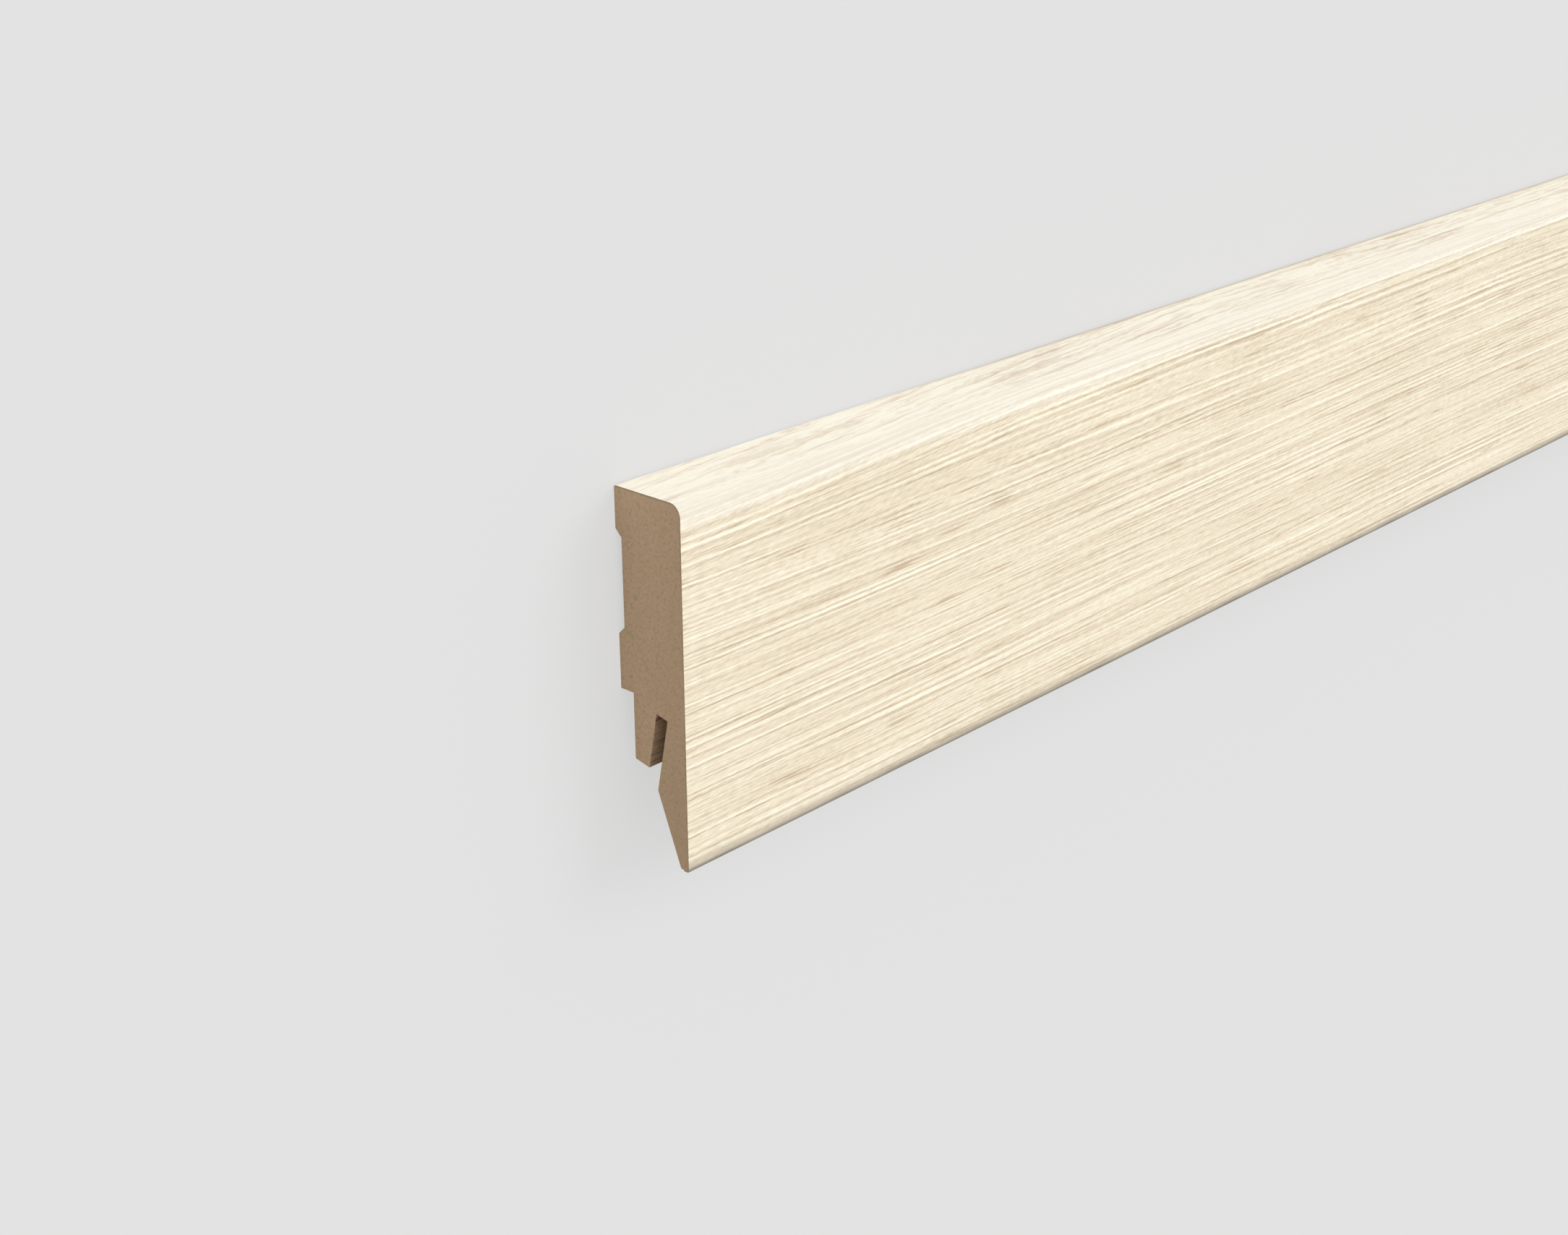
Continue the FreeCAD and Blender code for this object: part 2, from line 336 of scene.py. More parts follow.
@dataclass(frozen=True)
class FacePrint:
    """The face's fine straight grain, its short dark pores and its embossed lines.

    The lines carry painted light from the head: each is a painted highlight with its painted shade
    below it.
    """

    waver: Streaks = Streaks(2.6, 0.7, 36.0, strength=0.13)
    patches: Streaks = Streaks(60, 5.0, 31.0)
    broad: Streaks = Streaks(70, 2.4, 29.0, strength=0.26)
    lines: tuple[Streaks, ...] = (
        Streaks(190, 0.76, 3.0, crest=(0.48, 0.78)),
        Streaks(66, 0.6, 15.0, crest=(0.48, 0.78)),
    )
    line_strengths: tuple[float, ...] = (0.46, 0.52)
    lit: float = 0.88
    shaded: float = 0.68
    shade_drop: float = 0.55
    strokes: Streaks = Streaks(60, 0.5, 44.0, strength=0.26, crest=(0.54, 0.76))
    fibres: Streaks = Streaks(8, 0.4, 57.0, 1.0, 0.6, strength=0.45)
    flecks: Streaks = Streaks(1.9, 0.3, 20.0, 2.0, 0.6, strength=0.95)
    fleck_slant: float = 0.1
    pores: Streaks = Streaks(13, 0.36, 83.0, crest=(0.57, 0.74))
    pore_groups: Streaks = Streaks(40, 2.2, 91.0, crest=(0.44, 0.62))
    middle_tone: float = 0.65

    def drawn(self, g: NodeGraph, x: Signal, line: Signal) -> tuple[Signal, Signal, Signal]:
        """Draw the face's print.

        Args:
            g: The material's graph.
            x: Place along the board.
            line: Place across the grain, which the grain's lines follow.

        Returns:
            The tone, from dark at 0 to pale at 1, the pores and the embossed height.
        """
        line = line + self.waver.swing(g, x, line)
        patch = self.patches.drawn(g, x, line)
        depth = patch * 0.7 + 0.25
        tone = self.broad.swing(g, x, line) + self.middle_tone
        height = patch
        for streaks, strength in zip(self.lines, self.line_strengths):
            lit = streaks.marks(g, x, line)
            shaded = streaks.marks(g, x, line - streaks.width * self.shade_drop)
            # A painted highlight and a painted shade for each embossed line, as if lit from the
            # head.
            tone = tone + (lit * self.lit - shaded * self.shaded) * strength * depth
            height = height + lit
        tone = tone + self.fibres.swing(g, x, line) - self.strokes.marks(g, x, line)
        tone = tone + self.flecks.swing(g, x, line + x * self.fleck_slant)
        pores = self.pores.marks(g, x, line) * self.pore_groups.marks(g, x, line)
        return tone, pores, height


@dataclass(frozen=True)
class HeadPrint:
    """The head edge's cloudy grain and its brown dashes.

    The grain slants by the slant, in millimetres, up to the slant's end from the left end.
    """

    slant_end: Span = (-60.0, 170.0)
    slant: float = 15.0
    swirl: Streaks = Streaks(55, 9, 44.0, strength=3.4)
    waver: Streaks = Streaks(4.5, 1.3, 48.0)
    broad: Streaks = Streaks(60, 1.7, 52.0, strength=1.5)
    middle: Streaks = Streaks(16, 0.9, 55.0, strength=1.2)
    fine: Streaks = Streaks(2.8, 0.5, 61.0, 2.0, 0.6)
    long_dashes: Streaks = Streaks(34, 0.9, 75.0, strength=0.42, crest=(0.52, 0.8))
    short_dashes: Streaks = Streaks(11, 0.7, 79.0, strength=0.3, crest=(0.55, 0.78))

    def drawn(
        self, g: NodeGraph, x: Signal, from_left_end: Signal, across: Signal
    ) -> tuple[Signal, Signal]:
        """Draw the head edge's print.

        Args:
            g: The material's graph.
            x: Place along the board.
            from_left_end: Distance from the board's left end.
            across: Place across the grain.

        Returns:
            The tone, from dark at 0 to pale at 1, and the dashes.
        """
        far = g.step(from_left_end, *self.slant_end)
        line = across + self.swirl.swing(g, x, across) + far * self.slant
        line = line + self.waver.swing(g, x, line)
        tone = 1.18 - far * 0.22 + self.broad.swing(g, x, line) + self.middle.swing(g, x, line)
        tone = tone + self.fine.swing(g, x, line) * (2.6 - far * 0.7)
        dashes = self.long_dashes.marks(g, x, line) + self.short_dashes.marks(g, x, line)
        return tone, dashes * (far * 0.5 + 0.64)


@dataclass(frozen=True)
class WoodDecorFinish:
    """Printed and lightly embossed pale wood decor, with its grain along the board.

    The print runs on round the head edge and down the face, by one coordinate across the grain:
    the depth less the height. The head edge and the top of the face have a cloudier print, which
    is paler partly as print whitening and partly as a painted highlight.
    In millimetres, the zones are measured from the head's front corner towards the foot, the
    starts from the left end, the trim from the head's back edge, and the two painted shades along
    the foot edge upwards from that edge.
    """

    length: float
    half_height: float
    thickness: float
    roughness: float = 0.55
    emboss_mm: float = 0.03
    pore_depth: float = 0.5
    face: FacePrint = FacePrint()
    head: HeadPrint = HeadPrint()
    drift: Streaks = Streaks(260, 60, 3.1, strength=8.0)
    ripple: Streaks = Streaks(36, 7, 8.4, strength=0.45)
    fray: Streaks = Streaks(75, 0.7, 7.0, strength=3.0)
    cast: Streaks = Streaks(14, 1.2, 111.0, strength=0.2, crest=(0.48, 0.75))
    foot_waver: Streaks = Streaks(9, 1.0, 99.0, strength=0.4)
    lift: float = 4.5
    lift_start: Span = (-30.0, 90.0)
    lift_zone_end: Span = (0.0, 22.0)
    head_zone_end: Span = (-1.6, -0.4)
    paler_zone: Span = (-7.0, -2.0)
    rounded_zone: Span = (-2.2, -0.6)
    rounded_zone_end: Span = (1.3, 2.6)
    pale_band_end: Span = (2.5, 4.9)
    trim: Span = (0.2, 1.5)
    trim_start: Span = (35.0, 110.0)
    # Where each painted shade along the foot edge is full and where it ends, upwards from that
    # edge.
    foot_shade_wide: Span = (-0.9, 2.75)
    foot_shade: Span = (-0.3, 1.0)
    grain: tuple[tuple[float, Colour], ...] = (
        (0.0, paint(202, 180, 151)),
        (0.3, paint(217, 201, 174)),
        (0.5, paint(230, 216, 189)),
        (0.66, paint(240, 227, 202)),
        (0.82, paint(247, 237, 213)),
        (1.0, paint(255, 249, 228)),
    )
    grey_cast: Colour = paint(231, 219, 206)
    # Partly print whitening, partly a painted highlight over the head edge and the top of the
    # face.
    bleach_and_highlight: Colour = paint(255, 250, 238)
    brown_dash: Colour = paint(206, 179, 149)
    # Painted shade for the rounded head edge, which damps the highlight there.
    rounded: Colour = paint(229, 222, 207)
    # A darker line along the head's back edge.
    back_edge_dark: Colour = paint(178, 160, 134)
    # Two painted shades along the foot edge, standing in for the shade of its rounding.
    painted_foot_shade: Colour = paint(128, 119, 107)
    shaded_foot: Colour = paint(98, 92, 83)

    def material(self) -> bpy.types.Material:
        """Build the decor's material.

        Returns:
            The material.
        """
        material, g = new_material("pale_wood_decor")
        x, y, z = g.place_mm()
        across = z - y
        from_left_end = x + self.length / 2
        line = across + self._flow(g, x, across, from_left_end)
        face_tone, pores, height = self.face.drawn(g, x, line)
        head_tone, dashes = self.head.drawn(g, x, from_left_end, across)
        head = 1 - self._past_corner(g, across, self.head_zone_end)
        frayed = across + self.fray.swing(g, x, line)
        pale = 1 - self._past_corner(g, frayed, self.pale_band_end)
        tone = face_tone + (head_tone - face_tone) * head
        tone = tone + (tone - 0.7) * pale * (1 - head) * 0.9
        dark = pores * (1 - head)
        colour = g.ramp(g.clamped(tone - dark * self.pore_depth), list(self.grain))
        colour = g.blend(self.cast.marks(g, x, across) * head, colour, self.grey_cast)
        below = self._past_corner(g, across, self.rounded_zone_end)
        share = self._past_corner(g, across, self.paler_zone) * 0.14 + below * 0.12 + 0.33
        # Paler over the head edge and the top of the face: partly print whitening, partly a
        # painted highlight.
        colour = g.blend(pale * share, colour, self.bleach_and_highlight)
        colour = g.blend(dashes * head, colour, self.brown_dash)
        # Painted shade over the rounded head edge, which damps the highlight there.
        over_edge_shade = self._past_corner(g, across, self.rounded_zone) * (1 - below)
        colour = g.blend(over_edge_shade * 0.6, colour, self.rounded)
        # A darker line along the head's back edge, from a little way in from the left end.
        colour = g.blend(self._back_edge(g, across, from_left_end), colour, self.back_edge_dark)
        # Painted shade along the foot edge, in a wide and a narrow band.
        colour = g.blend(self._foot_shade_mask(g, x, across, self.foot_shade_wide), colour, self.painted_foot_shade)
        colour = g.blend(self._foot_shade_mask(g, x, across, self.foot_shade), colour, self.shaded_foot)
        normal = g.relief(height * (1 - pale * 0.6), self.emboss_mm)
        rough = self.roughness - (tone - 0.66) * 0.15 + dark * 0.1
        g.coat(colour, rough, normal, gloss=0.3)
        return material

    def _past_corner(self, g: NodeGraph, across: Signal, zone: Span) -> Signal:
        """Rise from 0 to 1 over a zone measured from the head's front corner."""
        corner = self.thickness - self.half_height
        return g.step(across, corner + zone[0], corner + zone[1])

    def _flow(self, g: NodeGraph, x: Signal, across: Signal, from_left_end: Signal) -> Signal:
        """Bend the grain's lines.

        Args:
            g: The material's graph.
            x: Place along the board.
            across: Place across the grain.
            from_left_end: Distance from the board's left end.

        Returns:
            How far the grain wanders across the board, in millimetres.
        """
        wander = self.drift.swing(g, x, across) + self.ripple.swing(g, x, across)
        near_head = 1 - self._past_corner(g, across, self.lift_zone_end)
        return wander + g.step(from_left_end, *self.lift_start) * near_head * self.lift

    def _back_edge(self, g: NodeGraph, across: Signal, from_left_end: Signal) -> Signal:
        """Return a dark line along the head's back edge, which starts a little way from the left
        end.
        """
        dark = 1 - g.step(across + self.half_height, *self.trim)
        return dark * g.step(from_left_end, *self.trim_start) * 0.75

    def _foot_shade_mask(self, g: NodeGraph, x: Signal, across: Signal, heights: Span) -> Signal:
        """Paint shade along the foot edge.

        Args:
            g: The material's graph.
            x: Place along the board.
            across: Place across the grain.
            heights: Where above the foot the painted shade is full, and where it ends.

        Returns:
            The painted shade's strength.
        """
        height = (self.thickness + self.half_height) - across
        return 1 - g.step(height + self.foot_waver.swing(g, x, 0.0), *heights)


@dataclass(frozen=True)
class FoilEdgeFinish:
    """The foil's knife-cut and sawn edges, and its unseen glued side: dark film and dried glue."""

    roughness: float = 0.62
    blot_mm: float = 0.8
    grit_mm: float = 0.15
    grit_depth_mm: float = 0.02
    film: Colour = paint(168, 150, 119)
    glue: Colour = paint(150, 130, 100)

    def material(self) -> bpy.types.Material:
        """Build the cut edge's material.

        Returns:
            The material.
        """
        material, g = new_material("foil_cut_edge")
        spot = g.place_mm()
        blot = g.cells(*(axis / self.blot_mm for axis in spot), 2.0)
        colour = g.blend(g.step(blot, 0.35, 0.7), self.film, self.glue)
        grit = g.cells(*(axis / self.grit_mm for axis in spot), 1.0)
        g.coat(colour, self.roughness, g.relief(grit, self.grit_depth_mm), gloss=0.3)
        return material


class BoardSurface(Enum):
    """How an MDF surface was cut: the ways differ in their marks and their shade."""

    SAWN = "mdf_sawn_end"
    MACHINED = "mdf_machined"
    SANDED = "mdf_sanded_land"
    GROOVED = "mdf_groove_wall"

    @property
    def slot(self) -> int:
        """Return the surface's place among the core's materials."""
        return list(BoardSurface).index(self)


class Marks(NamedTuple):
    """What a way of cutting leaves: its height, its shade, and the height's unit."""

    height: Signal
    shade: Signal
    depth_mm: float


@dataclass(frozen=True)
class BoardFinish:
    """Raw MDF: pressed wood fibres with fine specks, cut in one of four ways."""

    surface: BoardSurface
    roughness: float = 0.86
    fibre: Colour = paint(189, 161, 131)
    dark_fibre: Colour = paint(146, 118, 90)
    pale_fibre: Colour = paint(203, 177, 147)
    olive: Colour = paint(180, 161, 124)
    rosy: Colour = paint(197, 162, 137)
    # Darker tones, each partly painted shade: for the sawn end's face side, the recesses and the
    # groove.
    burnished_and_shade: Colour = paint(120, 93, 68)
    scorched_and_shade: Colour = paint(104, 68, 44)

    def material(self) -> bpy.types.Material:
        """Build the material for this way of cutting.

        Returns:
            The material.
        """
        material, g = new_material(self.surface.value)
        spot = g.place_mm()
        colour = self._fibres(g, spot)
        marks = {
            BoardSurface.SAWN: self._saw_marks,
            BoardSurface.MACHINED: self._cutter_marks,
            BoardSurface.SANDED: self._sanding_marks,
            BoardSurface.GROOVED: self._groove_marks,
        }[self.surface](g, spot)
        # The darker colour is part burnish, part scorch in the groove, and part painted shade.
        worn_and_shaded = self.scorched_and_shade if self.surface is BoardSurface.GROOVED else self.burnished_and_shade
        colour = g.blend(g.clamped(marks.shade), colour, worn_and_shaded)
        rough = self.roughness + (marks.height - 0.5) * 0.1
        g.coat(colour, rough, g.relief(marks.height, marks.depth_mm), gloss=0.2)
        return material

    def _fibres(self, g: NodeGraph, spot: Spot) -> Signal:
        """Colour the pressed fibres.

        Args:
            g: The material's graph.
            spot: The surface point.

        Returns:
            A mottled colour, with pale and dark flecks.
        """
        x, y, z = spot
        hue = g.cells(x / 2.4, y / 2.0, z / 1.8 + 40.0, 1.0)
        colour = g.blend(g.step(hue, 0.5, 0.68) * 0.75, self.fibre, self.olive)
        colour = g.blend((1 - g.step(hue, 0.26, 0.46)) * 0.3, colour, self.rosy)
        fleck = g.cells(x / 0.6, (y + z) / 1.25, (y - z) / 0.6, 1.0)
        colour = g.blend(g.step(fleck, 0.5, 0.78) * 0.3, colour, self.dark_fibre)
        colour = g.blend((1 - g.step(fleck, 0.22, 0.5)) * 0.24, colour, self.pale_fibre)
        speck = g.cells(x / 0.42, y / 0.42 + 60.0, z / 0.42)
        return g.blend(g.step(speck, 0.6, 0.82) * 0.4, colour, self.dark_fibre)

    @staticmethod
    def _saw_marks(g: NodeGraph, spot: Spot) -> Marks:
        """Mark the sawn end with faint slanting saw lines and stray fibres.

        It is painted a little darker towards its face, a painted shade against the stronger light
        there. It is also a little darker towards the foot, over the thin lip and leg.

        Args:
            g: The material's graph.
            spot: The surface point.

        Returns:
            The marks.
        """
        x, y, z = spot
        lines = g.cells((y * 0.94 + z * 0.34) / 0.35, z / 14, 5.0)
        fibre = g.cells((y - z) / 0.16, (y + z) / 1.3, 17.0)
        grit = g.cells(x / 0.2, y / 0.2, z / 0.2, 1.0)
        # Painted shade: a little darker towards the face, against the stronger light there.
        face_side_shade = z * (0.25 / 14)
        # Darker towards the foot, over the thin lip and leg.
        thin = (1 - g.step(y, -24.0, 2.0)) * 0.065
        shade = g.step(fibre, 0.62, 0.8) * 0.12 + g.step(lines, 0.55, 0.8) * 0.05
        return Marks(lines * 0.3 + grit * 0.7, shade + face_side_shade + thin, 0.05)

    @staticmethod
    def _cutter_marks(g: NodeGraph, spot: Spot) -> Marks:
        """Mark a moulded surface with streaks and small waves that run with the cutter.

        Args:
            g: The material's graph.
            spot: The surface point.

        Returns:
            The marks.
        """
        x, y, z = spot
        streak = g.cells(x / 45, y / 0.4, z / 0.4, 1.0, 0.6)
        wave = abs(g.maths("SINE", x * (math.pi / 1.6)))
        grit = g.cells(x / 0.35, y / 0.2, z / 0.2)
        # The moulded surfaces' dark base tone is partly painted shade for the recesses.
        shade = g.step(streak, 0.36, 0.74) * 0.26 + g.step(grit, 0.5, 0.8) * 0.1 + 0.45
        return Marks(streak * 0.5 + grit * 0.4 + wave * 0.08, shade, 0.06)

    @staticmethod
    def _groove_marks(g: NodeGraph, spot: Spot) -> Marks:
        """Mark the groove with broad streaks and a dark tone: part scorch from its thin cutter,
        part painted shade.

        Args:
            g: The material's graph.
            spot: The surface point.

        Returns:
            The marks.
        """
        x, y, z = spot
        streak = g.cells(x / 14, y / 0.6, z / 3.0, 1.0, 0.6)
        grit = g.cells(x / 0.5, y / 0.2, z / 0.2)
        # The groove's dark base tone is partly painted shade for the narrow groove.
        shade = g.step(streak, 0.36, 0.64) * 0.6 + g.step(grit, 0.5, 0.8) * 0.08 + 0.26
        return Marks(streak * 0.6 + grit * 0.4, shade, 0.05)

    @staticmethod
    def _sanding_marks(g: NodeGraph, spot: Spot) -> Marks:
        """Mark a sanded land with fine scratches along the board.

        Args:
            g: The material's graph.
            spot: The surface point.

        Returns:
            The marks.
        """
        x, y, z = spot
        scratch = g.cells(x / 12, y / 0.12, z / 0.12)
        dust = g.cells(x / 0.6, y / 0.5, z / 0.5)
        shade = g.step(scratch, 0.55, 0.8) * 0.15 + 0.1
        return Marks(scratch * 0.7 + dust * 0.3, shade, 0.02)


@dataclass(frozen=True)
class Corner:
    """One corner of a section outline, and what the edge after it is finished with."""

    across: float
    out: float
    radius: float
    slot: int


@dataclass
class SectionOutline:
    """A closed outline in the board's cross-section, each corner rounded by its own radius.

    Each rounded corner has a point just outside each end of its arc, which holds the flat
    stretches between corners flat in their shading.
    """

    corners: list[Corner]
    arc_step: float = math.radians(6)
    fewest_steps: int = 3
    holding: float = 0.06

    def points(self) -> list[tuple[Vector, int]]:
        """Go round the outline.

        Returns:
            Its points in millimetres, each with the slot of the edge after it.
        """
        found: list[tuple[Vector, int]] = []
        count = len(self.corners)
        for place, corner in enumerate(self.corners):
            before = self.corners[place - 1]
            after = self.corners[(place + 1) % count]
            found += self._round(before, corner, after)
        return found

    def _round(self, before: Corner, corner: Corner, after: Corner) -> list[tuple[Vector, int]]:
        """Round one corner.

        Args:
            before: The corner before it.
            corner: The corner itself.
            after: The corner after it.

        Returns:
            The rounded corner's points, each with the slot of the edge after it.
        """
        here = Vector((corner.across, corner.out))
        if corner.radius <= 0:
            return [(here, corner.slot)]
        to_before = (Vector((before.across, before.out)) - here).normalized()
        to_after = (Vector((after.across, after.out)) - here).normalized()
        turn = math.pi - to_before.angle(to_after)
        reach = corner.radius * math.tan(turn / 2)
        centre_way = (to_before + to_after).normalized()
        centre = here + centre_way * (corner.radius / math.cos(turn / 2))
        start = here + to_before * reach - centre
        steps = max(self.fewest_steps, math.ceil(turn / self.arc_step))
        side = 1 if to_before.x * to_after.y - to_before.y * to_after.x < 0 else -1
        found = [(here + to_before * (reach + self.holding), before.slot)]
        for step in range(steps + 1):
            angle = side * turn * step / steps
            spun = Matrix.Rotation(angle, 2) @ start
            found.append((centre + spun, before.slot if step < steps / 2 else corner.slot))
        found.append((here + to_after * (reach + self.holding), corner.slot))
        return found


def inset(points: list[Vector], distance: float) -> list[Vector]:
    """Move a closed outline's points inwards by a small distance.

    Args:
        points: The outline, anticlockwise.
        distance: How far each edge moves in.

    Returns:
        The moved points, in the same order.
    """
    # A sharper corner than this would move its point too far.
    sharpest = 0.5
    moved: list[Vector] = []
    for place, here in enumerate(points):
        before = points[place - 1]
        after = points[(place + 1) % len(points)]
        first = (here - before).normalized()
        second = (after - here).normalized()
        normals = Vector((-first.y, first.x)) + Vector((-second.y, second.x))
        scale = 2 / max(normals.length_squared, sharpest)
        moved.append(here + normals * scale * distance)
    return moved


@dataclass(frozen=True)
class BakeLayout:
    """How a long piece's faces lie flat for baking, on a square whose side is 1.

    The length is cut into bands, stacked one above the other. The first band is the shortest, so
    that the end seen close has the finest pixels. The two ends stand beside the bands.
    """

    near_length: float = 350.0
    margin: float = 0.006
    bands_width: float = 0.84
    end_width: float = 0.14
    end_height: float = 0.48

    def sides(self, xs: list[float], shares: list[float]) -> list[tuple[float, float]]:
        """Lay out the faces between rings.

        Args:
            xs: The rings' places along the board.
            shares: How far round the girth each edge of the outline starts, from 0 to 1.

        Returns:
            A place on the square for each corner of each face, in the faces' order.
        """
        near = sum(x < xs[0] + self.near_length for x in xs)
        cuts = [0, near, (near + len(xs)) // 2, len(xs) - 1]
        bands = len(cuts) - 1
        height = 1 - 2 * self.margin
        found: list[tuple[float, float]] = []
        for band, (first, last) in enumerate(zip(cuts, cuts[1:])):
            ups = [(band + 1 - self.margin - height * share) / bands for share in shares]
            scale = self.bands_width / (xs[last] - xs[first])
            for ring in range(first, last):
                low, high = ((xs[at] - xs[first]) * scale for at in (ring, ring + 1))
                for up, next_up in zip(ups, ups[1:]):
                    found += [(low, up), (low, next_up), (high, next_up), (high, up)]
        return found

    def ends(self, plan: list[Vector]) -> list[tuple[float, float]]:
        """Lay out the two end faces.

        Args:
            plan: The outline, anticlockwise seen from the right end.

        Returns:
            A place on the square for each corner, of the left end and then of the right.
        """
        lowest, highest = Vector(map(min, zip(*plan))), Vector(map(max, zip(*plan)))
        middle, size = (lowest + highest) / 2, highest - lowest
        found: list[tuple[float, float]] = []
        for level, ring, way in ((0.25, plan[::-1], 1), (0.75, plan, -1)):
            for point in ring:
                aside = (point.y - middle.y) / size.y * self.end_width * way
                upwards = (point.x - middle.x) / size.x * self.end_height
                found.append((1 - self.end_width / 2 + aside, level + upwards))
        return found


@dataclass
class LongPiece:
    """A piece of one section that runs the board's whole length, built as one closed mesh.

    The shift moves a point of the section at a place along the board. The unrolled shares say how
    much room on the baking square each slot's edges get.
    """

    name: str
    outline: list[tuple[Vector, int]]
    length: float
    end_slot: int
    pitch: float
    arris: float
    shift: Callable[[float, Vector], Vector] = lambda x, point: point
    unrolled: tuple[float, ...] = (1.0, 1.0, 1.0, 1.0)
    layout: BakeLayout = BakeLayout()
    arris_angles: tuple[float, ...] = (0, 30, 60, 90)
    sharp_angle: float = 40

    def stations(self) -> list[tuple[float, float]]:
        """Place the rings of points along the board, closer where the ends' edges are broken.

        Returns:
            Each ring's x and how far it is inset, in millimetres, from the left end to the right.
        """
        half = self.length / 2
        turns = [math.radians(angle) for angle in self.arris_angles]
        eased = [(self.arris * (1 - math.sin(t)), self.arris * (1 - math.cos(t))) for t in turns]
        left = [(-half + along, inwards) for inwards, along in eased]
        start = -half + self.arris * 2
        left.append((start, 0.0))
        plain = self.length - 4 * self.arris
        count = max(1, round(plain / self.pitch))
        middle = [(start + plain / count * place, 0.0) for place in range(1, count)]
        right = [(-x, inwards) for x, inwards in reversed(left)]
        return left + middle + right

    def build(self, materials: list[bpy.types.Material]) -> bpy.types.Object:
        """Build the mesh, give it its materials and put it in the scene.

        Args:
            materials: The piece's slots, in the order that the outline's edges name.

        Returns:
            The new object.
        """
        plan = [point for point, _ in self.outline]
        count = len(plan)
        rings = self.stations()
        vertices: list[Vector] = []
        for x, inwards in rings:
            for point in inset(plan, inwards) if inwards else plan:
                moved = self.shift(x, point)
                vertices.append(Vector((x, moved.x, moved.y)) * MM)
        faces: list[tuple[int, ...]] = []
        face_slots: list[int] = []
        for ring in range(len(rings) - 1):
            low, high = ring * count, (ring + 1) * count
            for place, (_, slot) in enumerate(self.outline):
                following = (place + 1) % count
                faces.append((low + place, low + following, high + following, high + place))
                face_slots.append(slot)
        last = (len(rings) - 1) * count
        faces.append(tuple(reversed(range(count))))
        faces.append(tuple(range(last, last + count)))
        face_slots += [self.end_slot, self.end_slot]
        mesh = bpy.data.meshes.new(self.name)
        mesh.from_pydata([tuple(v) for v in vertices], [], faces)
        mesh.polygons.foreach_set("material_index", face_slots)
        mesh.polygons.foreach_set("use_smooth", [True] * (len(faces) - 2) + [False, False])
        mesh.update()
        mesh.set_sharp_from_angle(angle=math.radians(self.sharp_angle))
        mesh.validate()
        places = self.layout.sides([x for x, _ in rings], self._girth()) + self.layout.ends(plan)
        layer = mesh.uv_layers.new(name="OFBake")
        layer.uv.foreach_set("vector", [number for place in places for number in place])
        piece = bpy.data.objects.new(self.name, mesh)
        bpy.context.scene.collection.objects.link(piece)
        for material in materials:
            mesh.materials.append(material)
        return piece

    def _girth(self) -> list[float]:
        """Measure round the outline, with each edge weighed by its slot's room.

        Returns:
            Where each edge starts and the last one ends, from 0 to 1.
        """
        girth = [0.0]
        for place, (here, slot) in enumerate(self.outline):
            after = self.outline[(place + 1) % len(self.outline)][0]
            girth.append(girth[-1] + (after - here).length * self.unrolled[slot])
        return [part / girth[-1] for part in girth]


@dataclass(frozen=True)
class BoardSize:
    """The board's sizes in millimetres that both pieces share.

    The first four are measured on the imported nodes. The last two are the outer roundings of its
    two front edges. The foot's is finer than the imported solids'.
    """

    length: float
    height: float
    thickness: float
    foil: float
    head_radius: float = 2.1
    foot_radius: float = 0.36

    @classmethod
    def from_frame(cls) -> "BoardSize":
        """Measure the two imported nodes.

        Returns:
            Their sizes.
        """
        (low, high), (core_low, core_high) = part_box("decor_foil"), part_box("mdf_core")
        return cls(
            length=(high[0] - low[0]) / MM,
            height=(high[1] - low[1]) / MM,
            thickness=(high[2] - core_low[2]) / MM,
            foil=(high[2] - core_high[2]) / MM,
        )


